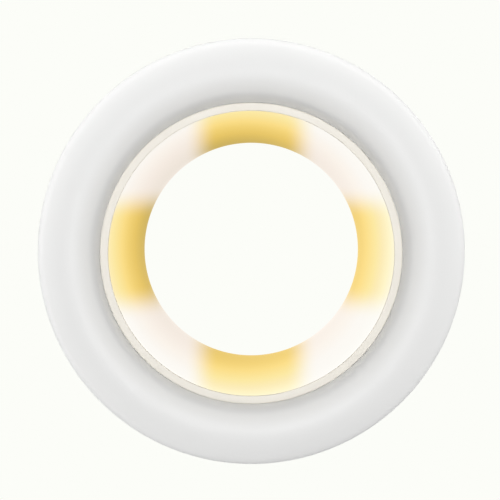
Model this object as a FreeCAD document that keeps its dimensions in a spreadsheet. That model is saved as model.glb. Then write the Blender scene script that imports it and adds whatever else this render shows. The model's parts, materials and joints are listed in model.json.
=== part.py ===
import FreeCAD, Part
import math
import os
import re
import Sketcher

# Ring-shaped ceiling access point, hanging under the ceiling plane z = 0, centred on the Z axis.
# "Drop" is a distance below the ceiling. Angles are in degrees about +Z, from +X.
# Every dimension is in millimetres and stands in the sheet named Size.
DIMENSIONS = {
    # Front cover
    "outer_radius": 100, "crest_inset": 15, "crest_drop": 38, "cover_wall": 2.2,
    "shoulder_inset": 4, "shoulder_tilt": 28, "valley_recess": 8.5, "valley_floor": 0.2, "edge_taper": 2, "edge_offset": 0.4,
    "seam": 0.3, "post_inset": 12, "post_diameter": 7, "post_sink": 0.1,
    # Bezel and light
    "bezel_radius": 70.4, "bezel_width": 3.8, "bezel_recess": 4, "bezel_skin": 1, "bezel_leg": 1.5,
    "bezel_depth": 5.5, "leg_room": 1.5, "outer_round": 1, "inner_round": 0.4,
    "hole_radius": 51.5, "diffuser_wall": 2, "throat_straight": 1.4, "nest_gap": 0.2,
    "tray_wall": 1.4, "tray_flange": 1.6, "led_inset": 5, "led_size": 3.5, "led_height": 1,
    "led_board_wall": 1.6, "led_board_gap": 0.2, "led_spread": 12,
    "header_length": 8, "header_width": 2.5, "header_angle": 335, "header_gap": 0.5,
    # Bracket
    "bracket_thick": 6, "bracket_web": 2.4, "bracket_rim": 2.5, "bracket_inset": 8,
    "bracket_margin": 4.5, "bracket_gap": 0.6, "bracket_round": 0.5, "rib_width": 1.4, "rib_drop": 1.2,
    "rib_bite": 0.3, "ceiling_screw_inset": 10.5,
    "ceiling_hole": 4.6, "ceiling_sink": 8.4, "ceiling_boss": 11, "sink_depth": 1.9,
    "window_start": 50, "window_sweep": 42, "window_inner_margin": 18, "window_outer_margin": 12.5,
    # Twist lock
    "stud_inset": 24, "stud_angle": 30, "stud_head": 9, "stud_head_height": 2, "stud_lift": 0.3,
    "stud_neck": 4.4, "stud_thread": 3, "stud_reach": 6.4, "stud_boss": 9, "stud_boss_depth": 5.5,
    "neck_gap": 0.3, "head_gap": 0.7, "stud_hole_room": 0.6, "twist_travel": 15, "driver_slot": 1,
    # Lock slide
    "lock_travel": 4, "lock_pin_inset": 16, "lock_pin": 3, "lock_pin_gap": 0.5, "lock_width": 10,
    "lock_thick": 1.2, "lock_lift": 0.2, "lock_side_gap": 0.4, "lock_nose": 6, "lock_reach": 9,
    "lock_grip": 2, "lock_grip_top": 1, "lock_grip_bottom": 5.4, "gate_depth": 1.8, "gate_floor": 1.2,
    "lock_pin_bite": 1.4, "guide_width": 6, "guide_foot": 4.6, "guide_thick": 1.2, "guide_gap": 0.3,
    "guide_screw": 2, "guide_screw_head": 3.8, "guide_screw_sink": 1.2, "guide_screw_tip": 0.6,
    "grip_stand": 1, "notch_margin": 0.7, "gate_margin": 3, "gate_bite": 0.2, "gate_end_sweep": 12,
    # Rear base and fixings
    "base_plate": 2.4, "base_skirt": 5, "base_wall": 2, "base_gap": 0.5, "screw": 3,
    "screw_head": 5.6, "screw_head_height": 1.2, "screw_sink": 1.4, "screw_reach": 10, "screw_gap": 0.1,
    "hole_clear": 0.4, "sink_clear": 0.8, "post_bore_room": 1, "post_clear": 2, "slot_floor": 0.5,
    "board_screw_tip": 0.5, "label_gap": 1,
    "board_screw_inset": 11.5, "board_boss": 6, "board_head_height": 1.6, "board_screw_reach": 5,
    "label_recess": 0.3, "label_thick": 0.25, "label_width": 10, "label_inset": 6.5,
    "label_angle": 210, "label_sweep": 36,
    # Port
    "port_wall": 1.4, "port_clear": 0.4, "jack_width": 15.6, "jack_height": 11, "jack_length": 21,
    "jack_face": -6, "pocket_length": 33, "jack_wall": 1.6, "jack_mouth_width": 12,
    "jack_mouth_height": 7.6, "jack_mouth_depth": 13, "jack_tab": 4, "jack_tab_width": 12,
    "jack_tab_thick": 0.8, "jack_tab_bite": 0.5,
    "contact_width": 0.4, "contact_length": 9, "contact_pitch": 1.02, "contact_lift": 1.4,
    # Main board and what stands on it
    "component_room": 6.8, "board_wall": 1.6, "board_inner_margin": 6.5, "board_inset": 8,
    "board_gap": 0.2, "chip_height": 1.2, "shield_height": 2.2, "pad_room": 3,
    "spreader_height": 3.6, "spreader_sweep": 84, "spreader_angle": 210, "spreader_base": 1.6,
    "spreader_margin": 8.5, "spreader_width": 24, "spreader_rib": 1.6, "spreader_pitch": 5.6,
    "capacitor": 6.3, "capacitor_height": 6, "capacitor_inset": 21,
    "transformer_gap": 0.6, "magnetics_gap": 2.8, "inductor_gap": 3, "pad_radial_gap": 2, "pad_across_gap": 3,
    # Antennas and their leads
    "antenna_sheet": 0.4, "antenna_height": 11.4, "antenna_width": 9, "antenna_inset": 14,
    "antenna_leg": 4, "lead": 1.2, "lead_inset": 26.5, "lead_pitch": 2, "plug": 2.6,
    "plug_height": 2.3, "plug_radial": 1.86,
    # Reset button
    "reset_angle": 62, "reset_inset": 23, "reset_cap": 3.8, "reset_gap": 0.3, "reset_sink": 0.3,
    "reset_flange": 6, "reset_flange_height": 0.8, "reset_stem": 2.4, "reset_bite": 0.5,
    "switch_size": 6, "switch_height": 3.5, "reset_travel": 0.8,
}

doc = FreeCAD.newDocument("ceiling_access_point")
sheet = doc.addObject("Spreadsheet::Sheet", "Size")
for row, (alias, number) in enumerate(DIMENSIONS.items(), start=1):
    sheet.set(f"A{row}", alias)
    sheet.set(f"B{row}", str(number))
    sheet.setAlias(f"B{row}", alias)
doc.recompute()

WORD = re.compile(r"\b[a-z][a-z_]*[a-z]\b")
BODIES = []


def bound(expression):
    """The expression with each dimension's name pointed at the sheet."""
    return WORD.sub(lambda word: f"Size.{word[0]}" if word[0] in DIMENSIONS else word[0], str(expression))


def number(expression):
    """The present value of an expression."""
    return float(sheet.evalExpression(bound(expression)))


# ---------------------------------------------------------------- places worked out from the sizes
CREST_RADIUS = "(outer_radius - crest_inset)"
ROOF_BEND = "((crest_inset - shoulder_inset) / sin(shoulder_tilt))"
CORNER_BEND = "(shoulder_inset / (1 - sin(shoulder_tilt)))"
CORNER_DROP = f"(crest_drop - {ROOF_BEND} * (1 - cos(shoulder_tilt)))"
WIDEST_DROP = f"({CORNER_DROP} - {CORNER_BEND} * cos(shoulder_tilt))"
BASE_REAR = "(bracket_thick + bracket_gap)"
BASE_FRONT = f"({BASE_REAR} + base_plate)"
BASE_RADIUS = "(outer_radius - edge_taper - cover_wall - base_gap)"
EDGE_DROP = f"({BASE_REAR} + edge_offset)"
LIP_DROP = "(crest_drop - bezel_recess)"
RIM_DROP = f"({LIP_DROP} - bezel_skin)"
RIM_RADIUS = "(bezel_radius - bezel_width)"
SEAT_DROP = f"({LIP_DROP} - bezel_depth - leg_room)"
FLANGE_RADIUS = "(bezel_radius + seam)"
VALLEY_DROP = "(crest_drop - valley_recess)"
VALLEY_RADIUS = f"({FLANGE_RADIUS} + valley_floor)"
THROAT_DROP = f"({BASE_REAR} + throat_straight)"
TRAY_RADIUS = "(bezel_radius - bezel_leg - nest_gap)"
BOARD_REAR = f"({BASE_FRONT} + component_room)"
BOARD_FRONT = f"({BOARD_REAR} + board_wall)"
BOARD_INNER = "(hole_radius + board_inner_margin)"
LED_BOARD_REAR = f"({BOARD_FRONT} + tray_wall)"
LED_BOARD_FRONT = f"({LED_BOARD_REAR} + led_board_wall)"
WEB_REAR = "(bracket_thick - bracket_web)"
BRACKET_RADIUS = "(outer_radius - bracket_inset)"
BRACKET_INNER = "(hole_radius + bracket_margin)"
CEILING_SCREW_RADIUS = "(hole_radius + ceiling_screw_inset)"
STUD_RADIUS = "(outer_radius - stud_inset)"
POST_RADIUS = "(outer_radius - post_inset)"
BOARD_SCREW_RADIUS = "(outer_radius - board_screw_inset)"
LOCK_RADIUS = "(outer_radius - lock_pin_inset)"
PORT_LOW = f"({TRAY_RADIUS} + port_clear + port_wall)"
PORT_HIGH = f"({PORT_LOW} + jack_width)"
JACK_FRONT = f"({BASE_FRONT} + jack_height)"
POCKET_FLOOR = f"({JACK_FRONT} - port_wall)"
POCKET_END = "(jack_face + pocket_length)"


# ---------------------------------------------------------------- sketches and features
def new_body(name):
    body = doc.addObject("PartDesign::Body", name)
    body.Label = name
    BODIES.append(body)
    return body


def new_sketch(body, name, role, drop="0", angle="0"):
    """A sketch on an origin plane: XY_Plane at a drop, turned about Z, or XZ_Plane swung to an angle."""
    sketch = body.newObject("Sketcher::SketchObject", f"{body.Label}_{name}")
    plane = [feature for feature in body.Origin.OriginFeatures if feature.Role == role][0]
    sketch.AttachmentSupport = [(plane, "")]
    sketch.MapMode = "FlatFace"
    upright = role == "XZ_Plane"
    turn_axis = FreeCAD.Vector(0, 1, 0) if upright else FreeCAD.Vector(0, 0, 1)
    sketch.AttachmentOffset = FreeCAD.Placement(FreeCAD.Vector(), FreeCAD.Rotation(turn_axis, 1))
    sketch.setExpression("AttachmentOffset.Rotation.Angle", bound(angle))
    if not upright:
        sketch.setExpression("AttachmentOffset.Base.z", bound(f"-({drop})"))
    return sketch


def hold(sketch, kind, *references, to):
    """A driving constraint whose value is bound to an expression."""
    index = sketch.addConstraint(Sketcher.Constraint(kind, *references, number(to)))
    sketch.setExpression(f"Constraints[{index}]", bound(to))


def edge(start, end, radius, turn):
    """A line, or an arc that turns left (1) or right (-1), with the indices of its start and end."""
    if not turn:
        return Part.LineSegment(start, end), 1, 2
    chord = end - start
    left = FreeCAD.Vector(-chord.y, chord.x, 0).normalize()
    height = math.sqrt(max(radius ** 2 - (chord.Length / 2) ** 2, 0))
    centre = (start + end) / 2 + left * height * turn
    first, last = (start, end) if turn > 0 else (end, start)
    angles = [math.atan2(point.y - centre.y, point.x - centre.x) for point in (first, last)]
    if angles[1] < angles[0]:
        angles[1] += 2 * math.pi
    circle = Part.Circle(centre, FreeCAD.Vector(0, 0, 1), radius)
    return Part.ArcOfCircle(circle, *angles), (1 if turn > 0 else 2), (2 if turn > 0 else 1)


def outline(sketch, corners):
    """A closed outline. A corner is (x, y), or (x, y, radius, turn) where an arc arrives at it."""
    points = [FreeCAD.Vector(number(corner[0]), number(corner[1]), 0) for corner in corners]
    first = sketch.GeometryCount
    ends = []
    for index, corner in enumerate(corners[1:] + corners[:1]):
        radius, turn = corner[2:] if len(corner) > 2 else ("0", 0)
        piece, start, end = edge(points[index], points[(index + 1) % len(points)], number(radius), turn)
        geometry = sketch.addGeometry(piece, False)
        ends.append((start, end))
        if turn:
            hold(sketch, "Radius", geometry, to=radius)
    for index, corner in enumerate(corners):
        geometry = first + index
        before = first + (index - 1) % len(corners)
        sketch.addConstraint(Sketcher.Constraint(
            "Coincident", before, ends[index - 1][1], geometry, ends[index][0]))
        hold(sketch, "DistanceX", -1, 1, geometry, ends[index][0], to=corner[0])
        hold(sketch, "DistanceY", -1, 1, geometry, ends[index][0], to=corner[1])


def section(corners):
    """Corners given as radius and drop, as a sketch on an upright plane takes them."""
    return [(corner[0], f"-({corner[1]})") + tuple(corner[2:]) for corner in corners]


def rectangle(sketch, low_x, high_x, low_y, high_y):
    outline(sketch, [(low_x, low_y), (high_x, low_y), (high_x, high_y), (low_x, high_y)])


def circle(sketch, centre_x, centre_y, diameter):
    centre = FreeCAD.Vector(number(centre_x), number(centre_y), 0)
    radius = f"({diameter}) / 2"
    geometry = sketch.addGeometry(Part.Circle(centre, FreeCAD.Vector(0, 0, 1), number(radius)), False)
    hold(sketch, "DistanceX", -1, 1, geometry, 3, to=centre_x)
    hold(sketch, "DistanceY", -1, 1, geometry, 3, to=centre_y)
    hold(sketch, "Radius", geometry, to=radius)


def feature(kind, sketch, length=None, sweep=None):
    """A Pad or Pocket of a length, or a Revolution or Groove about Z through a sweep."""
    body = sketch.getParentGeoFeatureGroup()
    made = body.newObject(f"PartDesign::{kind}", f"{sketch.Name}_{kind}")
    made.Profile = sketch
    sketch.Visibility = False
    if sweep is None:
        made.setExpression("Length", bound(length))
    else:
        made.ReferenceAxis = (sketch, ["V_Axis"])
        made.Midplane = number(sweep) < 360
        made.setExpression("Angle", bound(sweep))
    doc.recompute()
    return made


def revolve(body, name, corners, sweep="360", angle="0", kind="Revolution"):
    """A ring, or a sector centred on an angle, from a section given as radius and drop."""
    sketch = new_sketch(body, name, "XZ_Plane", angle=angle)
    outline(sketch, section(corners))
    return feature(kind, sketch, sweep=sweep)


def cut_sector(body, name, corners, sweep="360", angle="0"):
    before = body.Shape.Volume
    made = revolve(body, name, corners, sweep, angle, kind="Groove")
    assert body.Shape.Volume < before, f"{made.Name} cuts nothing"
    return made


def box_section(inner, outer, rear, front):
    return [(inner, rear), (outer, rear), (outer, front), (inner, front)]


def add_disc(body, name, diameter, rear, front, radius="0", angle="0"):
    """A round boss, pin or screw part from its rear drop to its front drop."""
    sketch = new_sketch(body, name, "XY_Plane", front, angle)
    circle(sketch, radius, "0", diameter)
    return feature("Pad", sketch, f"({front}) - ({rear})")


def cut_disc(body, name, diameter, rear, front, radius="0", angle="0"):
    before = body.Shape.Volume
    sketch = new_sketch(body, name, "XY_Plane", rear, angle)
    circle(sketch, radius, "0", diameter)
    made = feature("Pocket", sketch, f"({front}) - ({rear})")
    assert body.Shape.Volume < before, f"{made.Name} cuts nothing"
    return made


def add_box(body, name, low_x, high_x, low_y, high_y, rear, front, angle="0"):
    sketch = new_sketch(body, name, "XY_Plane", front, angle)
    rectangle(sketch, low_x, high_x, low_y, high_y)
    return feature("Pad", sketch, f"({front}) - ({rear})")


def cut_box(body, name, low_x, high_x, low_y, high_y, rear, front, angle="0"):
    before = body.Shape.Volume
    sketch = new_sketch(body, name, "XY_Plane", rear, angle)
    rectangle(sketch, low_x, high_x, low_y, high_y)
    made = feature("Pocket", sketch, f"({front}) - ({rear})")
    assert body.Shape.Volume < before, f"{made.Name} cuts nothing"
    return made


def add_block(body, name, angle, radius, radial, across, rear, front):
    """A block whose middle is at a radius and an angle, square to that radius."""
    return add_box(body, name, f"({radius}) - ({radial}) / 2", f"({radius}) + ({radial}) / 2",
                   f"-({across}) / 2", f"({across}) / 2", rear, front, angle)


def repeat(body, originals, count, sweep=360):
    """Copies of features about the Z axis."""
    pattern = body.newObject("PartDesign::PolarPattern", f"{originals[0].Name}_pattern")
    pattern.Originals = originals
    axis = [item for item in body.Origin.OriginFeatures if item.Role == "Z_Axis"][0]
    pattern.Axis = (axis, [""])
    pattern.Angle = sweep
    pattern.Occurrences = count
    body.Tip = pattern
    doc.recompute()
    return pattern


# ---------------------------------------------------------------- what is fixed to the ceiling
# Ribs across the bracket's pan, clear of its slots, its window, its bosses and the lock
RIB_ANGLES = (40, 104, 118, 166, 194, 210, 226, 240, 288, 304, 320, 336)


def mounting_bracket():
    """Pan-shaped ring: a web with two rims that reach the ceiling, and three keyhole slots."""
    body = new_body("mounting_bracket")
    inner_rim, outer_rim = f"{BRACKET_INNER} + bracket_rim", f"{BRACKET_RADIUS} - bracket_rim"
    rounding = "bracket_round"
    revolve(body, "pan", [
        (BRACKET_INNER, rounding), (f"{BRACKET_INNER} + {rounding}", "0", rounding, -1),
        (f"{inner_rim} - {rounding}", "0"), (inner_rim, rounding, rounding, -1),
        (inner_rim, WEB_REAR), (outer_rim, WEB_REAR),
        (outer_rim, rounding), (f"{outer_rim} + {rounding}", "0", rounding, -1),
        (f"{BRACKET_RADIUS} - {rounding}", "0"), (BRACKET_RADIUS, rounding, rounding, -1),
        (BRACKET_RADIUS, "bracket_thick"), (BRACKET_INNER, "bracket_thick")])
    for angle in RIB_ANGLES:
        add_box(body, f"rib_{angle}", f"{inner_rim} - rib_bite", f"{outer_rim} + rib_bite",
                "-rib_width / 2", "rib_width / 2", "rib_drop", f"{WEB_REAR} + rib_bite", str(angle))
    boss = add_disc(body, "ceiling_boss", "ceiling_boss", "0", "bracket_thick", CEILING_SCREW_RADIUS)
    repeat(body, [boss], 4)
    hole = cut_disc(body, "ceiling_hole", "ceiling_hole", "0", "bracket_thick", CEILING_SCREW_RADIUS)
    sink = cut_disc(body, "ceiling_sink", "ceiling_sink", "bracket_thick - sink_depth", "bracket_thick",
                    CEILING_SCREW_RADIUS)
    repeat(body, [hole, sink], 4)
    half = "(stud_neck / 2 + neck_gap)"
    entry_angle = "stud_angle - twist_travel"
    slot = cut_sector(
        body, "slot", box_section(f"{STUD_RADIUS} - {half}", f"{STUD_RADIUS} + {half}", "0", "bracket_thick"),
        "twist_travel", "stud_angle - twist_travel / 2")
    end = cut_disc(body, "slot_end", f"2 * {half}", "0", "bracket_thick", STUD_RADIUS, "stud_angle")
    entry = cut_disc(body, "entry", "stud_head + 2 * head_gap", "0", "bracket_thick",
                     STUD_RADIUS, entry_angle)
    repeat(body, [slot, end, entry], 3)
    cut_sector(
        body, "window",
        box_section("hole_radius + window_inner_margin", "outer_radius - window_outer_margin",
                    "0", "bracket_thick"),
        "window_sweep", "window_start + window_sweep / 2")
    side = "(lock_width / 2 + lock_side_gap)"
    cut_box(body, "grip_notch", f"{outer_rim} - notch_margin", f"{BRACKET_RADIUS} + grip_stand",
            f"-{side}", side, "0", "bracket_thick")
    half_pin = "(lock_pin / 2 + lock_pin_gap)"
    cut_box(body, "pin_slot", f"{LOCK_RADIUS} - lock_travel - {half_pin}", f"{LOCK_RADIUS} + {half_pin}",
            f"-{half_pin}", half_pin, "0", "bracket_thick")
    for side_name, sign in (("left", "-"), ("right", "")):
        sketch = new_sketch(body, f"guide_hole_{side_name}", "XY_Plane", "0")
        circle(sketch, LOCK_RADIUS, f"{sign}{GUIDE_SCREW_Y}", "guide_screw + screw_gap")
        feature("Pocket", sketch, "bracket_thick")
        sketch = new_sketch(body, f"guide_sink_{side_name}", "XY_Plane", "bracket_thick - guide_screw_sink")
        circle(sketch, LOCK_RADIUS, f"{sign}{GUIDE_SCREW_Y}", "guide_screw_head + screw_gap")
        feature("Pocket", sketch, "guide_screw_sink")


GUIDE_INNER_Y = "(lock_width / 2 + guide_gap)"
GUIDE_SCREW_Y = f"({GUIDE_INNER_Y} + guide_foot / 2)"
SLIDE_FRONT = f"({WEB_REAR} - lock_lift)"
SLIDE_REAR = f"({SLIDE_FRONT} - lock_thick)"


def lock_slide():
    """Latch plate with a grip past the bracket's rim and a pin that reaches into the base's gate."""
    body = new_body("lock_slide")
    tip = f"({BRACKET_RADIUS} + lock_grip + grip_stand)"
    add_box(body, "plate", f"{LOCK_RADIUS} - lock_nose", tip, "-lock_width / 2", "lock_width / 2",
            SLIDE_REAR, SLIDE_FRONT)
    add_box(body, "grip", f"{tip} - lock_grip", tip, "-lock_width / 2", "lock_width / 2",
            "lock_grip_top", "lock_grip_bottom")
    add_disc(body, "pin", "lock_pin", SLIDE_REAR, f"{BASE_REAR} + lock_pin_bite", LOCK_RADIUS)


def lock_guide():
    """Strap across the lock slide, on two feet that stand on the bracket's web."""
    body = new_body("lock_guide")
    outer = f"({GUIDE_INNER_Y} + guide_foot)"
    under = f"({SLIDE_REAR} - guide_gap)"
    low, high = f"{LOCK_RADIUS} - guide_width / 2", f"{LOCK_RADIUS} + guide_width / 2"
    add_box(body, "strap", low, high, f"-{outer}", outer, f"{under} - guide_thick", under)
    rear = f"{under} - guide_thick"
    add_box(body, "foot_left", low, high, f"-{outer}", f"-{GUIDE_INNER_Y}", rear, WEB_REAR)
    add_box(body, "foot_right", low, high, GUIDE_INNER_Y, outer, rear, WEB_REAR)
    for side_name, sign in (("left", "-"), ("right", "")):
        sketch = new_sketch(body, f"hole_{side_name}", "XY_Plane", "0")
        circle(sketch, LOCK_RADIUS, f"{sign}{GUIDE_SCREW_Y}", "guide_screw + screw_gap")
        feature("Pocket", sketch, WEB_REAR)


def lock_guide_screws():
    """Two flat-headed screws, flush in the bracket's web."""
    body = new_body("lock_guide_screws")
    for side_name, sign in (("left", "-"), ("right", "")):
        sketch = new_sketch(body, f"head_{side_name}", "XY_Plane", "bracket_thick")
        circle(sketch, LOCK_RADIUS, f"{sign}{GUIDE_SCREW_Y}", "guide_screw_head")
        feature("Pad", sketch, "guide_screw_sink")
        sketch = new_sketch(body, f"shank_{side_name}", "XY_Plane", "bracket_thick - guide_screw_sink / 2")
        circle(sketch, LOCK_RADIUS, f"{sign}{GUIDE_SCREW_Y}", "guide_screw")
        strap_rear = f"({SLIDE_REAR} - guide_gap - guide_screw_tip)"
        feature("Pad", sketch, f"bracket_thick - guide_screw_sink / 2 - {strap_rear}")


# ---------------------------------------------------------------- shells of the unit
def front_cover():
    """Rounded ring-shaped shell: side, shoulder, crest, valley and the flange that holds the bezel."""
    body = new_body("front_cover")
    side = f"((pow(edge_taper; 2) + pow({WIDEST_DROP} - {EDGE_DROP}; 2)) / (2 * edge_taper))"
    slope = f"((pow({CREST_RADIUS} - {VALLEY_RADIUS}; 2) + pow(valley_recess; 2)) / (2 * valley_recess))"
    inner_flange = f"({FLANGE_RADIUS} + cover_wall)"
    inner_slope = f"({slope} - cover_wall)"
    inner_side = f"({side} - cover_wall)"
    meet = f"crest_drop - {slope} + sqrt(pow({inner_slope}; 2) - pow({CREST_RADIUS} - {inner_flange}; 2))"
    inner_edge = f"outer_radius - {side} + sqrt(pow({inner_side}; 2) - pow({WIDEST_DROP} - {EDGE_DROP}; 2))"
    revolve(body, "shell", [
        ("outer_radius - edge_taper", EDGE_DROP),
        ("outer_radius", WIDEST_DROP, side, -1),
        ("outer_radius - shoulder_inset", CORNER_DROP, CORNER_BEND, -1),
        (CREST_RADIUS, "crest_drop", ROOF_BEND, -1),
        (VALLEY_RADIUS, VALLEY_DROP, slope, -1),
        (FLANGE_RADIUS, VALLEY_DROP),
        (FLANGE_RADIUS, SEAT_DROP),
        (inner_flange, SEAT_DROP),
        (inner_flange, meet),
        (CREST_RADIUS, "crest_drop - cover_wall", inner_slope, 1),
        ("outer_radius - shoulder_inset - cover_wall * sin(shoulder_tilt)",
         f"{CORNER_DROP} - cover_wall * cos(shoulder_tilt)", f"{ROOF_BEND} - cover_wall", 1),
        ("outer_radius - cover_wall", WIDEST_DROP, f"{CORNER_BEND} - cover_wall", 1),
        (inner_edge, EDGE_DROP, inner_side, 1)])
    post = add_disc(body, "post", "post_diameter", BASE_FRONT, "crest_drop - cover_wall + post_sink",
                    POST_RADIUS, "45")
    repeat(body, [post], 4)
    bore = cut_disc(body, "post_bore", "screw + screw_gap", BASE_FRONT,
                    f"{BASE_FRONT} + screw_reach + post_bore_room", POST_RADIUS, "45")
    repeat(body, [bore], 4)


def bezel_ring():
    """Thin lip round the light, with a leg inside the cover's flange."""
    body = new_body("bezel_ring")
    revolve(body, "lip", [
        (RIM_RADIUS, RIM_DROP),
        (RIM_RADIUS, f"{LIP_DROP} - inner_round"),
        (f"{RIM_RADIUS} + inner_round", LIP_DROP, "inner_round", 1),
        ("bezel_radius - outer_round", LIP_DROP),
        ("bezel_radius", f"{LIP_DROP} - outer_round", "outer_round", 1),
        ("bezel_radius", f"{LIP_DROP} - bezel_depth"),
        ("bezel_radius - bezel_leg", f"{LIP_DROP} - bezel_depth"),
        ("bezel_radius - bezel_leg", RIM_DROP)])


# The funnel's section is an arc that ends upright at the throat; its back meets the flange at FUNNEL_BACK
FUNNEL_REACH = f"({RIM_RADIUS} - hole_radius)"
FUNNEL_DEPTH = f"({RIM_DROP} - {THROAT_DROP})"
FUNNEL_BEND = f"((pow({FUNNEL_REACH}; 2) + pow({FUNNEL_DEPTH}; 2)) / (2 * {FUNNEL_REACH}))"
FUNNEL_REAR = f"({RIM_DROP} - diffuser_wall)"
FUNNEL_BACK = (f"(hole_radius + {FUNNEL_BEND} - sqrt(pow({FUNNEL_BEND} - diffuser_wall; 2)"
               f" - pow({FUNNEL_REAR} - {THROAT_DROP}; 2)))")
TRAY_INNER = f"max({TRAY_RADIUS} - tray_wall; {FUNNEL_BACK} + nest_gap)"


def light_diffuser():
    """Funnel whose section is an arc, from the flange under the bezel to the straight throat."""
    body = new_body("light_diffuser")
    revolve(body, "funnel", [
        ("hole_radius", BASE_REAR),
        ("hole_radius", THROAT_DROP),
        (RIM_RADIUS, RIM_DROP, FUNNEL_BEND, 1),
        (TRAY_RADIUS, RIM_DROP),
        (TRAY_RADIUS, FUNNEL_REAR),
        (FUNNEL_BACK, FUNNEL_REAR),
        ("hole_radius + diffuser_wall", THROAT_DROP, f"{FUNNEL_BEND} - diffuser_wall", -1),
        ("hole_radius + diffuser_wall", BASE_REAR)])


def light_frame():
    """Opaque tray that carries the light board and the diffuser, with a flange under the cover."""
    body = new_body("light_frame")
    floor = LED_BOARD_REAR
    revolve(body, "tray", [
        (BOARD_INNER, BOARD_FRONT), (TRAY_RADIUS, BOARD_FRONT),
        (TRAY_RADIUS, f"{SEAT_DROP} - tray_flange"),
        (f"{FLANGE_RADIUS} + cover_wall", f"{SEAT_DROP} - tray_flange"),
        (f"{FLANGE_RADIUS} + cover_wall", SEAT_DROP), (TRAY_RADIUS, SEAT_DROP),
        (TRAY_RADIUS, FUNNEL_REAR), (TRAY_INNER, FUNNEL_REAR), (TRAY_INNER, floor), (BOARD_INNER, floor)])
    half_radial, half_across = "(header_width / 2 + header_gap)", "(header_length / 2 + header_gap)"
    cut_box(body, "header_gap", f"{LED_RADIUS} - {half_radial}", f"{LED_RADIUS} + {half_radial}",
            f"-{half_across}", half_across, BOARD_FRONT, floor, "header_angle")


LED_RADIUS = f"({TRAY_RADIUS} - tray_wall - led_inset)"


def rear_base():
    """Tray against the bracket: plate, skirt, port pocket, bosses and the gate of the lock pin."""
    body = new_body("rear_base")
    inner = "hole_radius + diffuser_wall + nest_gap"
    revolve(body, "plate", [
        (inner, BASE_REAR), (BASE_RADIUS, BASE_REAR), (BASE_RADIUS, f"{BASE_FRONT} + base_skirt"),
        (f"{BASE_RADIUS} - base_wall", f"{BASE_FRONT} + base_skirt"),
        (f"{BASE_RADIUS} - base_wall", BASE_FRONT), (inner, BASE_FRONT)])
    boss = add_disc(body, "stud_boss", "stud_boss", BASE_FRONT, f"{BASE_FRONT} + stud_boss_depth",
                    STUD_RADIUS, "stud_angle")
    repeat(body, [boss], 3)
    boss = add_disc(body, "board_boss", "board_boss", BASE_FRONT, BOARD_REAR, BOARD_SCREW_RADIUS)
    repeat(body, [boss], 3)
    add_box(body, "port_walls", "jack_face", f"{POCKET_END} + port_wall",
            f"{PORT_LOW} - port_wall", f"{PORT_HIGH} + port_wall", BASE_FRONT, JACK_FRONT)
    cut_box(body, "port_pocket", "jack_face", POCKET_END, PORT_LOW, PORT_HIGH, BASE_REAR, POCKET_FLOOR)
    hole = cut_disc(body, "stud_hole", "stud_thread + screw_gap", BASE_REAR,
                    f"{BASE_REAR} + stud_reach + stud_hole_room", STUD_RADIUS, "stud_angle")
    repeat(body, [hole], 3)
    hole = cut_disc(body, "cover_hole", "screw + hole_clear", BASE_REAR, BASE_FRONT, POST_RADIUS, "45")
    sink = cut_disc(body, "cover_sink", "screw_head + sink_clear", BASE_REAR, f"{BASE_REAR} + screw_sink",
                    POST_RADIUS, "45")
    repeat(body, [hole, sink], 4)
    hole = cut_disc(body, "board_hole", "screw + screw_gap", f"{BOARD_REAR} - board_screw_reach", BOARD_REAR,
                    BOARD_SCREW_RADIUS)
    repeat(body, [hole], 3)
    gate(body)
    cut_disc(body, "reset_hole", "reset_cap + 2 * reset_gap", BASE_REAR, BASE_FRONT,
             "outer_radius - reset_inset", "reset_angle")
    label_inner = "(hole_radius + label_inset)"
    cut_sector(
        body, "label_recess",
        box_section(label_inner, f"{label_inner} + label_width", BASE_REAR, f"{BASE_REAR} + label_recess"),
        "label_sweep", "label_angle")


def gate(body):
    """Track for the lock pin: an arc as long as the twist, with a notch inwards at each end."""
    half = "(lock_pin / 2 + lock_pin_gap)"
    bottom = f"({BASE_REAR} + gate_depth)"
    inner, outer = f"{LOCK_RADIUS} - {half}", f"{LOCK_RADIUS} + {half}"
    revolve(body, "gate_floor",
            box_section(f"{inner} - lock_travel - gate_margin", f"{outer} + gate_margin",
                        f"{BASE_FRONT} - gate_bite", f"{BASE_FRONT} + gate_floor"),
            "twist_travel + gate_end_sweep", "twist_travel / 2")
    cut_sector(body, "track", box_section(inner, outer, BASE_REAR, bottom), "twist_travel", "twist_travel / 2")
    for name, angle in (("locked", "0"), ("open", "twist_travel")):
        cut_disc(body, f"track_end_{name}", f"2 * {half}", BASE_REAR, bottom, LOCK_RADIUS, angle)
        cut_box(body, f"notch_{name}", f"{LOCK_RADIUS} - lock_travel - {half}", LOCK_RADIUS,
                f"-{half}", half, BASE_REAR, bottom, angle)


# ---------------------------------------------------------------- boards and parts on them
def led_board():
    body = new_body("led_board")
    revolve(body, "ring", box_section(BOARD_INNER, f"{TRAY_RADIUS} - tray_wall - led_board_gap",
                                      LED_BOARD_REAR, LED_BOARD_FRONT))


def light_fields(name, first_angle):
    """Three light-emitting diodes in each of four fields, a quarter turn apart."""
    body = new_body(name)
    made = [add_block(body, f"chip_{index}", f"{first_angle} + ({index} - 1) * led_spread", LED_RADIUS,
                      "led_size", "led_size", LED_BOARD_FRONT, f"{LED_BOARD_FRONT} + led_height")
            for index in range(3)]
    repeat(body, made, 4)


def led_header():
    body = new_body("led_header")
    add_block(body, "pins", "header_angle", LED_RADIUS, "header_width", "header_length",
              BOARD_FRONT, LED_BOARD_REAR)


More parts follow.
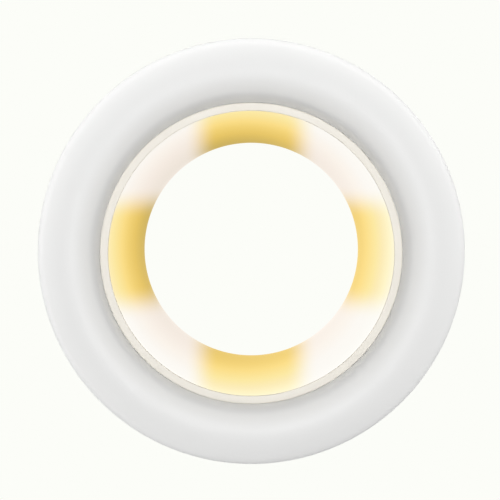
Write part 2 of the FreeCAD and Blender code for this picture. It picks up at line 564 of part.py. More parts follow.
def main_board():
    """Ring board with a notch for the port and holes for the cover's posts and its own screws."""
    body = new_body("main_board")
    revolve(body, "ring", box_section(BOARD_INNER, "outer_radius - board_inset", BOARD_REAR, BOARD_FRONT))
    cut_box(body, "port_notch", "jack_face - jack_length - 2 * board_gap",
            f"{POCKET_END} + port_wall + board_gap", f"{PORT_LOW} - port_wall - board_gap",
            "outer_radius", BOARD_REAR, BOARD_FRONT)
    post = cut_disc(body, "post_hole", "post_diameter + post_clear", BOARD_REAR, BOARD_FRONT,
                    POST_RADIUS, "45")
    repeat(body, [post], 4)
    screw = cut_disc(body, "screw_hole", "screw + 2 * screw_gap", BOARD_REAR, BOARD_FRONT, BOARD_SCREW_RADIUS)
    repeat(body, [screw], 3)


# Parts on the rear face of the main board: angle, radius, radial size, size across, height
REAR_PARTS = {
    "processor_chip": (210, 71, 14, 14, "chip_height"),
    "radio_shield_a": (186, 71, 14, 19, "shield_height"),
    "radio_shield_b": (234, 71, 14, 19, "shield_height"),
    "led_driver_chip": (322, 70, 5, 5, "chip_height"),
    "poe_transformer": (129, 67, 13, 13, "component_room - transformer_gap"),
    "network_transformer": (108, 62.9, 8, 15, "component_room - magnetics_gap"),
}


def rear_part(name):
    angle, radius, radial, across, height = REAR_PARTS[name]
    body = new_body(name)
    add_block(body, "package", str(angle), str(radius), str(radial), str(across),
              f"{BOARD_REAR} - ({height})", BOARD_REAR)


def rear_row(name, angles, radius, radial, across, height):
    """Several equal packages in a row along an arc."""
    body = new_body(name)
    for index, angle in enumerate(angles):
        add_block(body, f"package_{index}", str(angle), str(radius), str(radial), str(across),
                  f"{BOARD_REAR} - ({height})", BOARD_REAR)


def power_capacitors():
    body = new_body("power_capacitors")
    for index, angle in enumerate((116, 122.5, 129)):
        add_disc(body, f"can_{index}", "capacitor", f"{BOARD_REAR} - capacitor_height", BOARD_REAR,
                 "outer_radius - capacitor_inset", str(angle))


SPREADER_FRONT = f"({BOARD_REAR} - pad_room)"


def heat_spreader():
    """Sector with arc-shaped ribs between the hot chips and the rear base."""
    body = new_body("heat_spreader")
    inner = "(hole_radius + spreader_margin)"
    rear = f"({SPREADER_FRONT} - spreader_height)"
    revolve(body, "plate", box_section(inner, f"{inner} + spreader_width",
                                       f"{SPREADER_FRONT} - spreader_base", SPREADER_FRONT),
            "spreader_sweep", "spreader_angle")
    for index in range(5):
        start = f"({inner} + {index} * spreader_pitch)"
        revolve(body, f"rib_{index}",
                box_section(start, f"{start} + spreader_rib", rear, f"{SPREADER_FRONT} - spreader_base / 2"),
                "spreader_sweep", "spreader_angle")


def thermal_pads():
    body = new_body("thermal_pads")
    for name in ("processor_chip", "radio_shield_a", "radio_shield_b"):
        angle, radius, radial, across, height = REAR_PARTS[name]
        add_block(body, name, str(angle), str(radius), f"{radial} - pad_radial_gap",
                  f"{across} - pad_across_gap",
                  SPREADER_FRONT, f"{BOARD_REAR} - {height}")


def ethernet_jack():
    """Shielded socket sunk in the board's notch; its mouth opens into the port pocket along +X."""
    body = new_body("ethernet_jack")
    rear_end = "(jack_face - jack_length)"
    middle = f"({PORT_LOW} + jack_width / 2)"
    add_box(body, "can", rear_end, "jack_face", PORT_LOW, PORT_HIGH, BASE_FRONT, JACK_FRONT)
    add_box(body, "tab", f"{rear_end} - jack_tab", f"{rear_end} + jack_tab_bite",
            f"{middle} - jack_tab_width / 2", f"{middle} + jack_tab_width / 2",
            f"{BOARD_REAR} - jack_tab_thick", BOARD_REAR)
    sketch = body.newObject("Sketcher::SketchObject", "jack_mouth_sketch")
    plane = [item for item in body.Origin.OriginFeatures if item.Role == "YZ_Plane"][0]
    sketch.AttachmentSupport = [(plane, "")]
    sketch.MapMode = "FlatFace"
    sketch.setExpression("AttachmentOffset.Base.z", bound("jack_face"))
    rectangle(sketch, f"{middle} - jack_mouth_width / 2", f"{middle} + jack_mouth_width / 2",
              f"-({POCKET_FLOOR})", f"-({POCKET_FLOOR} - jack_mouth_height)")
    before = body.Shape.Volume
    feature("Pocket", sketch, "jack_mouth_depth")
    assert body.Shape.Volume < before, "the jack's mouth cuts nothing"


def ethernet_contacts():
    """Eight spring contacts that stand out of the back of the jack's mouth."""
    body = new_body("ethernet_contacts")
    back = "(jack_face - jack_mouth_depth)"
    front = f"({POCKET_FLOOR} - contact_lift)"
    for index in range(8):
        middle = f"({PORT_LOW} + jack_width / 2 + ({index} - 3.5) * contact_pitch)"
        add_box(body, f"wire_{index}", back, f"{back} + contact_length", f"{middle} - contact_width / 2",
                f"{middle} + contact_width / 2", f"{front} - contact_width", front)


# Antennas: angle and sweep. Leads: ring number, start angle and sweep.
ANTENNAS = {"antenna_1": (158, 12), "antenna_2": (202, 20), "antenna_3": (338, 20), "antenna_4": (22, 12)}
LEADS = {"antenna_lead_1": (0, 160, 24), "antenna_lead_2": (1, 190, 14),
         "antenna_lead_3": (0, 238, 98), "antenna_lead_4": (2, 232, 152)}


def antenna(name):
    """Bent sheet: a roof on a grounding leg at one end and a feed leg in the middle."""
    angle, sweep = ANTENNAS[name]
    body = new_body(name)
    inner = "(outer_radius - antenna_inset - antenna_width / 2)"
    roof = f"({BOARD_FRONT} + antenna_height)"
    revolve(body, "roof", box_section(inner, f"{inner} + antenna_width", f"{roof} - antenna_sheet", roof),
            str(sweep), str(angle))
    for leg, place in (("ground", f"{angle} - {sweep} / 2 + antenna_leg / 2"), ("feed", str(angle))):
        revolve(body, leg, box_section(inner, f"{inner} + antenna_sheet", BOARD_FRONT, roof),
                "antenna_leg", place)


def antenna_lead(name):
    """Thin coaxial lead along an arc on the board, with a plug at each end."""
    ring, start, sweep = LEADS[name]
    body = new_body(name)
    radius = f"(outer_radius - lead_inset + {ring} * lead_pitch)"
    middle = f"({BOARD_FRONT} + lead)"
    sketch = new_sketch(body, "core", "XZ_Plane", angle=str(start + sweep / 2))
    circle(sketch, radius, f"-({middle})", "lead")
    feature("Revolution", sketch, sweep=str(sweep))
    for end, angle in (("first", start), ("last", start + sweep)):
        add_block(body, end, str(angle), radius, "plug_radial", "plug", BOARD_FRONT,
                  f"{BOARD_FRONT} + plug_height")


# ---------------------------------------------------------------- fasteners, label and reset button
def bracket_studs():
    """Three shouldered studs: a head behind the bracket's web, a neck in its slot, a thread in the base."""
    body = new_body("bracket_studs")
    head_front = f"({WEB_REAR} - stud_lift)"
    head_rear = f"({head_front} - stud_head_height)"
    made = [
        add_disc(body, "head", "stud_head", head_rear, head_front, STUD_RADIUS, "stud_angle"),
        add_disc(body, "neck", "stud_neck", head_front, BASE_REAR, STUD_RADIUS, "stud_angle"),
        add_disc(body, "thread", "stud_thread", BASE_REAR, f"{BASE_REAR} + stud_reach",
                 STUD_RADIUS, "stud_angle"),
        cut_box(body, "slot", f"{STUD_RADIUS} - driver_slot / 2", f"{STUD_RADIUS} + driver_slot / 2",
                "-stud_head / 2", "stud_head / 2", head_rear, f"{head_rear} + driver_slot", "stud_angle")]
    repeat(body, made, 3)


def cover_screws():
    body = new_body("cover_screws")
    seat = f"({BASE_REAR} + screw_sink)"
    made = [
        add_disc(body, "head", "screw_head", f"{seat} - screw_head_height", seat, POST_RADIUS, "45"),
        add_disc(body, "shank", "screw", seat, f"{BASE_FRONT} + screw_reach", POST_RADIUS, "45"),
        cut_box(body, "slot", f"{POST_RADIUS} - driver_slot / 2", f"{POST_RADIUS} + driver_slot / 2",
                "-screw_head / 2", "screw_head / 2", f"{seat} - screw_head_height",
                f"{seat} - slot_floor", "45")]
    repeat(body, made, 4)


def board_screws():
    body = new_body("board_screws")
    made = [
        add_disc(body, "head", "screw_head", BOARD_FRONT, f"{BOARD_FRONT} + board_head_height",
                 BOARD_SCREW_RADIUS),
        add_disc(body, "shank", "screw", f"{BOARD_REAR} - board_screw_reach + board_screw_tip", BOARD_FRONT,
                 BOARD_SCREW_RADIUS)]
    repeat(body, made, 3)


def rating_label():
    """Blank label in its recess on the rear base."""
    body = new_body("rating_label")
    inner = "(hole_radius + label_inset + nest_gap)"
    bottom = f"({BASE_REAR} + label_recess)"
    revolve(body, "sheet", box_section(inner, f"{inner} + label_width - 2 * nest_gap",
                                       f"{bottom} - label_thick", bottom),
            "label_sweep - label_gap", "label_angle")


RESET_RADIUS = "(outer_radius - reset_inset)"
SWITCH_REAR = f"({BOARD_REAR} - switch_height)"


def reset_button():
    """Small plunger, retained by its flange under the base plate; the stem enters the switch."""
    body = new_body("reset_button")
    flange_rear = f"({BASE_FRONT} + reset_gap)"
    flange_front = f"({flange_rear} + reset_flange_height)"
    add_disc(body, "cap", "reset_cap", f"{BASE_REAR} + reset_sink", flange_rear, RESET_RADIUS, "reset_angle")
    add_disc(body, "flange", "reset_flange", flange_rear, flange_front, RESET_RADIUS, "reset_angle")
    add_disc(body, "stem", "reset_stem", flange_front, f"{SWITCH_REAR} + reset_bite",
             RESET_RADIUS, "reset_angle")


def reset_switch():
    body = new_body("reset_switch")
    add_block(body, "case", "reset_angle", RESET_RADIUS, "switch_size", "switch_size",
              SWITCH_REAR, BOARD_REAR)
    cut_disc(body, "bore", "reset_stem + 2 * reset_gap", SWITCH_REAR,
             f"{SWITCH_REAR} + reset_bite + reset_travel + reset_gap", RESET_RADIUS, "reset_angle")


# ---------------------------------------------------------------- the whole object
def build():
    mounting_bracket()
    lock_guide()
    lock_guide_screws()
    lock_slide()
    rear_base()
    front_cover()
    bezel_ring()
    light_diffuser()
    light_frame()
    led_board()
    light_fields("amber_leds", "0")
    light_fields("white_leds", "45")
    led_header()
    main_board()
    for name in REAR_PARTS:
        rear_part(name)
    rear_row("memory_chips", (284, 298), 72, 8, 11, "chip_height")
    rear_row("power_inductors", (150, 157, 164), 64, 6, 6, "component_room - inductor_gap")
    power_capacitors()
    heat_spreader()
    thermal_pads()
    ethernet_jack()
    ethernet_contacts()
    for name in ANTENNAS:
        antenna(name)
    for name in LEADS:
        antenna_lead(name)
    bracket_studs()
    cover_screws()
    board_screws()
    rating_label()
    reset_switch()
    reset_button()


def check():
    """Stops if any object failed to compute or any piece is not a sound shape."""
    for item in doc.Objects:
        if {"Invalid", "Error"} & set(item.State):
            raise RuntimeError(f"{item.Name} failed: {item.State}")
    for body in BODIES:
        if body.Shape.isNull() or not body.Shape.isValid() or not body.Shape.Solids:
            raise RuntimeError(f"{body.Label} has no sound shape")


def export():
    os.makedirs("parts", exist_ok=True)
    for body in BODIES:
        body.Shape.exportStep(f"parts/{body.Label}.step")
        print(f"{body.Label}: {len(body.Shape.Solids)} solids, {body.Shape.Volume:.1f} mm3")


build()
doc.recompute()
check()
export()
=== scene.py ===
import json
import math

import bmesh
import bpy
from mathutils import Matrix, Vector


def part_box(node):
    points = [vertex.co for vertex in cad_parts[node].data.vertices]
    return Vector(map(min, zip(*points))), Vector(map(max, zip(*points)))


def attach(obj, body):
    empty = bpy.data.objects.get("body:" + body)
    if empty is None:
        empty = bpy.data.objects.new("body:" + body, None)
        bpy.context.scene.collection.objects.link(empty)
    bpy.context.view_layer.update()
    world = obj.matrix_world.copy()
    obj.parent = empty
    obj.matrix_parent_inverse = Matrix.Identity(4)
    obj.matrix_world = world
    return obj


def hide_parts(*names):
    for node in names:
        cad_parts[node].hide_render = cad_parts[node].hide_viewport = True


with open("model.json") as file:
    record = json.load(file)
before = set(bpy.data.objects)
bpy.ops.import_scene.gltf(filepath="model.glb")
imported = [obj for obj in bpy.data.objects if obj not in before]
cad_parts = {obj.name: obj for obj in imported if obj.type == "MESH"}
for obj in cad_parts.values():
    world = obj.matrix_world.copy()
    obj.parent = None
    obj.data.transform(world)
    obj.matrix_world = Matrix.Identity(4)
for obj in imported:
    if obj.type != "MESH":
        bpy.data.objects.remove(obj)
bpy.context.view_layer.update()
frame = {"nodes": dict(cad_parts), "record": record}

bl_info = {
    "name": "Ring-shaped ceiling access point",
    "version": (1, 0, 0),
    "blender": (4, 5, 0),
    "location": "3D View > Sidebar > Access Point",
    "description": "Finished shells, light and materials for a ring-shaped ceiling access point",
    "category": "Object",
}

MM = 0.001
COVER_LOW, COVER_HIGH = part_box("front_cover")
BEZEL_LOW, BEZEL_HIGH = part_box("bezel_ring")
FUNNEL_LOW, FUNNEL_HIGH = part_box("light_diffuser")


# ---------------------------------------------------------------- sizes and colours a user would change
def linear(code):
    """An sRGB hex code as linear red, green, blue and alpha."""
    shares = [int(code[start:start + 2], 16) / 255 for start in (1, 3, 5)]
    bent = [share / 12.92 if share <= 0.04045 else ((share + 0.055) / 1.055) ** 2.4 for share in shares]
    return bent + [1]


def length(name, description, millimetres):
    """A length whose default is given in millimetres."""
    return bpy.props.FloatProperty(name=name, description=description, default=millimetres * MM,
                                   min=0, unit="LENGTH", precision=5)


def angle(name, description, degrees):
    """An angle whose default is given in degrees."""
    return bpy.props.FloatProperty(name=name, description=description, default=math.radians(degrees),
                                   subtype="ANGLE")


def level(name, description, default):
    """A strength, a power or another plain number."""
    return bpy.props.FloatProperty(name=name, description=description, default=default, min=0)


def colour(name, description, code):
    """A colour whose default is an sRGB hex code."""
    return bpy.props.FloatVectorProperty(name=name, description=description, default=linear(code),
                                         size=4, min=0, max=1, subtype="COLOR")


class ShellSizes(bpy.types.PropertyGroup):
    crest_inset: length("Crest inset", "How far inside the rim the cover comes nearest to the room", 15)
    shoulder_inset: length("Shoulder inset", "How far inside the rim the cover's tighter corner starts", 4)
    shoulder_tilt: angle("Shoulder tilt", "Tilt of the cover where its tighter corner starts", 28)
    cover_wall: length("Cover wall", "Wall of the front cover", 2.2)
    valley_recess: length("Valley recess", "How far the cover's valley lies behind its crest", 8.5)
    valley_floor: length("Valley floor", "Flat width of the valley beside the bezel", 0.2)
    edge_taper: length("Edge taper", "How far the cover's rear edge is inside its widest circle", 2)
    edge_round: length("Edge rounding", "Radius of the cover's rear edge", 0.4)
    flange_reach: length("Flange reach", "How far behind the light's rim the cover's flange ends", 6)
    post_circle: length("Post circle", "Radius on which the cover's four screw posts stand", 88)
    post_radius: length("Post radius", "Radius of a screw post", 3.5)
    post_bore: length("Post bore", "Radius of a screw post's hole", 1.2)
    post_inset: length("Post inset", "How far inside the cover's rear edge a screw post ends", 2)
    seam: length("Seam", "Gap between the cover and the bezel", 0.3)
    bezel_width: length("Bezel width", "Width of the lip round the light", 3.8)
    bezel_leg: length("Bezel leg", "Wall of the leg that holds the bezel", 1.5)
    bezel_outer_round: length("Bezel outer rounding", "Radius of the bezel's outer edge", 0.6)
    bezel_inner_round: length("Bezel inner rounding", "Radius of the bezel's inner edge", 0.4)
    funnel_wall: length("Funnel wall", "Wall of the light diffuser", 2)
    hole_radius: length("Hole radius", "Radius of the opening in the middle", 51.5)
    hole_round: length("Hole rounding", "Radius of the funnel's rear edge", 0.5)
    throat_straight: length("Straight throat", "Length of the funnel's straight end", 1.4)
    ring_steps: bpy.props.IntProperty(name="Ring steps", description="Facets round each ring",
                                      default=288, min=32)


class Finishes(bpy.types.PropertyGroup):
    cover: colour("Cover", "White of the front cover", "#f2f2f1")
    bezel: colour("Bezel", "Ivory of the bezel", "#f3eee3")
    base: colour("Rear base", "White of the rear base", "#e2e2df")
    bracket: colour("Bracket", "Grey of the mounting bracket", "#c9cac8")
    latch: colour("Latch", "Grey of the lock slide", "#5b5d5f")
    gloss: level("Cover gloss", "Strength of the cover's highlights", 0.3)
    # Painted shade: the cover's colour is made darker in the groove beside the bezel, where a soft shadow
    # falls
    groove_painted_shade: level("Groove painted shade", "Share of the white that is lost in the groove beside the bezel", 0.2)
    groove_width: length("Groove width", "How far from the bezel the groove looks greyer", 5.5)
    halo_strength: level("Halo strength", "Brightness of the halo light", 1.0)
    field_half_width: length("Field half width", "Half the width of an amber field", 23.8)
    field_blend: length("Field blend", "Distance over which an amber and a white field mix", 18)


class StageSettings(bpy.types.PropertyGroup):
    camera_distance: length("Camera distance", "From the camera to the widest circle of the cover", 700)
    camera_lean: angle("Camera lean", "Angle between the view and the ring's axis", 4.9)
    lens: bpy.props.FloatProperty(name="Lens", description="Focal length", default=106.7, min=20,
                                  subtype="DISTANCE_CAMERA")
    backdrop: colour("Backdrop", "Colour behind the part", "#fcfdf8")
    floor: colour("Floor", "Colour of the floor", "#f2f2ee")
    floor_drop: length("Floor drop", "From the ceiling plane to the floor", 1600)
    floor_radius: length("Floor radius", "Radius of the floor", 13500)
    fade_start: length("Fade start", "Radius at which the floor starts to fade into the backdrop", 3000)
    fade_end: length("Fade end", "Radius at which the floor has the backdrop's colour", 8500)
    front_light: level("Front light", "Power of the soft box in front, in watts", 14.8)
    front_size: length("Soft box size", "Diameter of the soft box in front", 600)
    room_light: level("Room light", "Even light from the room", 0.02)
    sky_light: level("Sky light", "Light from overhead", 0.72)
    rim_low: level("Dim rim light", "Light along the horizon on the dim side", 1.6)
    rim_high: level("Bright rim light", "Light along the horizon on the bright side", 7.0)


# ---------------------------------------------------------------- meshes
MERGE_DISTANCE = 0.001 * MM
SHARP_ANGLE = math.radians(40)


class Section:
    """A closed section in the XZ plane, drawn from corner to corner and then spun into a ring."""

    def __init__(self, radius, height):
        self.mesh = bmesh.new()
        self.first = self.last = self.mesh.verts.new((radius, 0, height))

    def line(self, radius, height):
        """A straight run to a corner."""
        made = bmesh.ops.extrude_vert_indiv(self.mesh, verts=[self.last])
        self.last = made["verts"][0]
        self.last.co = (radius, 0, height)
        return self

    def arc(self, radius, height, bend, turn, steps):
        """A run of a bend radius to a corner, in equal steps, which turns left (1) or right (-1)."""
        start, end = self.last.co.copy(), Vector((radius, 0, height))
        half = (end - start) / 2
        left = Vector((-half.z, 0, half.x)).normalized()
        centre = start + half + left * turn * math.sqrt(max(bend ** 2 - half.length_squared, 0))
        sweep = 2 * math.asin(min(half.length / bend, 1)) * turn
        made = bmesh.ops.spin(self.mesh, geom=[self.last], cent=centre, axis=(0, -1, 0), angle=sweep,
                              steps=steps)
        self.last = [item for item in made["geom_last"] if isinstance(item, bmesh.types.BMVert)][0]
        return self

    def ring(self, steps):
        """The section closed and spun once about the Z axis."""
        self.mesh.edges.new((self.last, self.first))
        bmesh.ops.spin(self.mesh, geom=self.mesh.verts[:] + self.mesh.edges[:], cent=(0, 0, 0),
                       axis=(0, 0, 1), angle=2 * math.pi, steps=steps, use_merge=True)
        return self.mesh


def finished(name, shape, body, material, slot, *nodes):
    """Makes an object of a bmesh, which rides on a body and stands for CAD nodes."""
    bmesh.ops.remove_doubles(shape, verts=shape.verts, dist=MERGE_DISTANCE)
    bmesh.ops.recalc_face_normals(shape, faces=shape.faces)
    mesh = bpy.data.meshes.new(name)
    shape.to_mesh(mesh)
    shape.free()
    mesh.set_sharp_from_angle(angle=SHARP_ANGLE)
    mesh.polygons.foreach_set("use_smooth", [True] * len(mesh.polygons))
    mesh.materials.append(material)
    piece = bpy.data.objects.new(name, mesh)
    bpy.context.scene.collection.objects.link(piece)
    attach(piece, body)
    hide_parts(*nodes)
    return piece


def dress(**materials):
    """Gives each material to the CAD nodes of its slot that keep their own shape."""
    redrawn = {"front_cover", "bezel_ring", "light_diffuser"}
    for slot, material in materials.items():
        nodes = [part["node"] for part in frame["record"]["subparts"]
                 if part["material_slot"] == slot and part["node"] not in redrawn]
        if not nodes:
            raise RuntimeError(f"no node has the slot {slot}")
        for node in nodes:
            for place in frame["nodes"][node].material_slots:
                place.material = material


# ---------------------------------------------------------------- materials
# A Mix node has one set of sockets for numbers and one for colours
NUMBER_A, NUMBER_B, NUMBER_OUT = 2, 3, 0
COLOUR_A, COLOUR_B, COLOUR_OUT = 6, 7, 2

CLOUD = 25 * MM
# The middle part of a noise's range, which holds nearly all of its values
NOISE_LOW, NOISE_HIGH = 0.3, 0.7
METAL_ROUGH_SPREAD = 0.06
FLAT = (1, 1, 0)


def add(tree, kind, inputs=None, **settings):
    """Adds a node. Inputs are socket values or the sockets they are linked to."""
    node = tree.nodes.new(kind)
    for name, value in settings.items():
        setattr(node, name, value)
    for socket, value in (inputs or {}).items():
        if isinstance(value, bpy.types.NodeSocket):
            tree.links.new(value, node.inputs[socket])
        else:
            node.inputs[socket].default_value = value
    return node


def new_material(name):
    """A material with its Object coordinates and its surface."""
    material = bpy.data.materials.new(name)
    material.use_nodes = True
    tree = material.node_tree
    tree.nodes.clear()
    place = add(tree, "ShaderNodeTexCoord").outputs["Object"]
    surface = add(tree, "ShaderNodeBsdfPrincipled")
    add(tree, "ShaderNodeOutputMaterial", {"Surface": surface.outputs["BSDF"]})
    return material, tree, place, surface


def from_axis(tree, place):
    """The way out from the Z axis to a point, and its length."""
    flat = add(tree, "ShaderNodeVectorMath", {0: place, 1: FLAT}, operation="MULTIPLY").outputs[0]
    radius = add(tree, "ShaderNodeVectorMath", {0: flat}, operation="LENGTH").outputs["Value"]
    return flat, radius


def mottle(tree, place, surface, tint, spread, grain, depth, roughness, rough_spread):
    """A faint cloud in colour and gloss, and a fine grain in relief. Grain and depth are in millimetres."""
    cloud = add(tree, "ShaderNodeTexNoise", {"Vector": place, "Scale": 1 / CLOUD, "Detail": 3.0})
    dark = [channel * (1 - spread) for channel in tint[:3]] + [1]
    shade = add(tree, "ShaderNodeMix", {
        "Factor": cloud.outputs["Fac"], COLOUR_A: dark, COLOUR_B: list(tint)}, data_type="RGBA")
    tree.links.new(shade.outputs[COLOUR_OUT], surface.inputs["Base Color"])
    gloss = add(tree, "ShaderNodeMapRange", {
        "Value": cloud.outputs["Fac"], "From Min": NOISE_LOW, "From Max": NOISE_HIGH,
        "To Min": roughness - rough_spread, "To Max": roughness + rough_spread})
    tree.links.new(gloss.outputs["Result"], surface.inputs["Roughness"])
    fine = add(tree, "ShaderNodeTexNoise", {"Vector": place, "Scale": 1 / (grain * MM), "Detail": 2.0})
    relief = add(tree, "ShaderNodeBump", {
        "Height": fine.outputs["Fac"], "Strength": 1.0, "Distance": depth * MM})
    tree.links.new(relief.outputs["Normal"], surface.inputs["Normal"])


def plastic(name, tint, ior=1.54, grain=1.2, depth=0.02, roughness=0.45, spread=0.02, rough_spread=0.04):
    """A moulded resin.

    The real texture of its mould, 0.05 to 0.2 mm, is too fine to show, so the grain is coarser here.
    """
    material, tree, place, surface = new_material(name)
    surface.inputs["IOR"].default_value = ior
    mottle(tree, place, surface, tint, spread, grain, depth, roughness, rough_spread)
    return material


def metal(name, code, roughness, grain=0.6, depth=0.006, spread=0.08):
    """A plated, drawn or cast metal with slightly uneven gloss."""
    material, tree, place, surface = new_material(name)
    surface.inputs["Metallic"].default_value = 1.0
    mottle(tree, place, surface, linear(code), spread, grain, depth, roughness, METAL_ROUGH_SPREAD)
    return material


# Light from the funnel's rim (0) to its throat (1), and on to the ramp's end where a field is deepest
RAMP_END = 1.5
AMBER_STOPS = ((0, "#f8f2d7"), (0.2, "#f9efc3"), (0.4, "#f6e6b0"), (0.6, "#f6e299"),
               (0.85, "#f4d67b"), (1.0, "#ebca67"), (1.2, "#debb4f"), (1.5, "#bc9e2c"))
WHITE_STOPS = ((0, "#f7f6f1"), (0.5, "#f6f3ee"), (0.8, "#f4ede5"), (1.1, "#ede3da"), (1.45, "#e2d8cd"))
# Painted shade: how much further along its ramp, so deeper, the light is on the -X and -Y sides, where less
# studio light falls on the funnel's inner wall; and how much further it is near the X and Y axes
FIELD_SIDE_SHADE = (-0.195, -0.18, 0)
FIELD_DEPTH = (0.245, 0.34, 0)
# The real frost, about 0.05 mm, is too fine to show, so it is coarser here
FROST_GRAIN = 0.8 * MM
FROST_DEPTH = 0.01 * MM
FROST_SMOOTH, FROST_ROUGH = 0.48, 0.62


def frosted_light(finishes, rim, hole):
    """Frosted polycarbonate lit from behind.

    The frost hides the diodes, so the eye sees soft amber and white fields that fade into each other,
    palest at the rim and deepest at the throat.
    """
    material, tree, place, surface = new_material("polycarbonate_frosted_and_backlit")
    surface.inputs["IOR"].default_value = 1.58
    surface.inputs["Base Color"].default_value = linear("#3c3a35")
    surface.inputs["Emission Strength"].default_value = finishes.halo_strength
    axes = add(tree, "ShaderNodeSeparateXYZ", {"Vector": place})
    wide = add(tree, "ShaderNodeMath", {0: axes.outputs["X"]}, operation="ABSOLUTE")
    high = add(tree, "ShaderNodeMath", {0: axes.outputs["Y"]}, operation="ABSOLUTE")
    least = add(tree, "ShaderNodeMath", {0: wide.outputs[0], 1: high.outputs[0]}, operation="MINIMUM")
    half, blend = finishes.field_half_width, finishes.field_blend
    white = add(tree, "ShaderNodeMapRange", {
        "Value": least.outputs[0], "From Min": half - blend / 2, "From Max": half + blend / 2},
        interpolation_type="SMOOTHERSTEP")
    flat, radius = from_axis(tree, place)
    depth = add(tree, "ShaderNodeMapRange", {"Value": radius, "From Min": rim, "From Max": hole})
    outwards = add(tree, "ShaderNodeVectorMath", {0: flat}, operation="NORMALIZE").outputs[0]
    # Painted shade: the light is deeper on the -X and -Y sides
    drift = add(tree, "ShaderNodeVectorMath", {0: outwards, 1: FIELD_SIDE_SHADE}, operation="DOT_PRODUCT")
    drifted = add(tree, "ShaderNodeMath", {
        0: depth.outputs["Result"], 1: drift.outputs["Value"]}, operation="ADD")
    squared = add(tree, "ShaderNodeVectorMath", {0: outwards, 1: outwards}, operation="MULTIPLY")
    axial = add(tree, "ShaderNodeVectorMath", {
        0: squared.outputs[0], 1: FIELD_DEPTH}, operation="DOT_PRODUCT")
    deeper = add(tree, "ShaderNodeMath", {
        0: drifted.outputs[0], 1: axial.outputs["Value"]}, operation="ADD")
    share = add(tree, "ShaderNodeMath", {0: deeper.outputs[0], 1: RAMP_END}, operation="DIVIDE")
    light = add(tree, "ShaderNodeMix", {"Factor": white.outputs["Result"]}, data_type="RGBA")
    for socket, stops in ((COLOUR_A, AMBER_STOPS), (COLOUR_B, WHITE_STOPS)):
        ramp = add(tree, "ShaderNodeValToRGB", {"Fac": share.outputs[0]})
        ramp.color_ramp.elements.remove(ramp.color_ramp.elements[1])
        ramp.color_ramp.elements[0].color = linear(stops[0][1])
        for along, code in stops[1:]:
            ramp.color_ramp.elements.new(along / RAMP_END).color = linear(code)
        tree.links.new(ramp.outputs["Color"], light.inputs[socket])
    tree.links.new(light.outputs[COLOUR_OUT], surface.inputs["Emission Color"])
    frost = add(tree, "ShaderNodeTexNoise", {"Vector": place, "Scale": 1 / FROST_GRAIN, "Detail": 2.0})
    gloss = add(tree, "ShaderNodeMapRange", {
        "Value": frost.outputs["Fac"], "To Min": FROST_SMOOTH, "To Max": FROST_ROUGH})
    tree.links.new(gloss.outputs["Result"], surface.inputs["Roughness"])
    relief = add(tree, "ShaderNodeBump", {
        "Height": frost.outputs["Fac"], "Strength": 1.0, "Distance": FROST_DEPTH})
    tree.links.new(relief.outputs["Normal"], surface.inputs["Normal"])
    return material


# ---------------------------------------------------------------- shells
# Share of the roof's wall that is left outside the end of a screw post
POST_COVER = 0.6


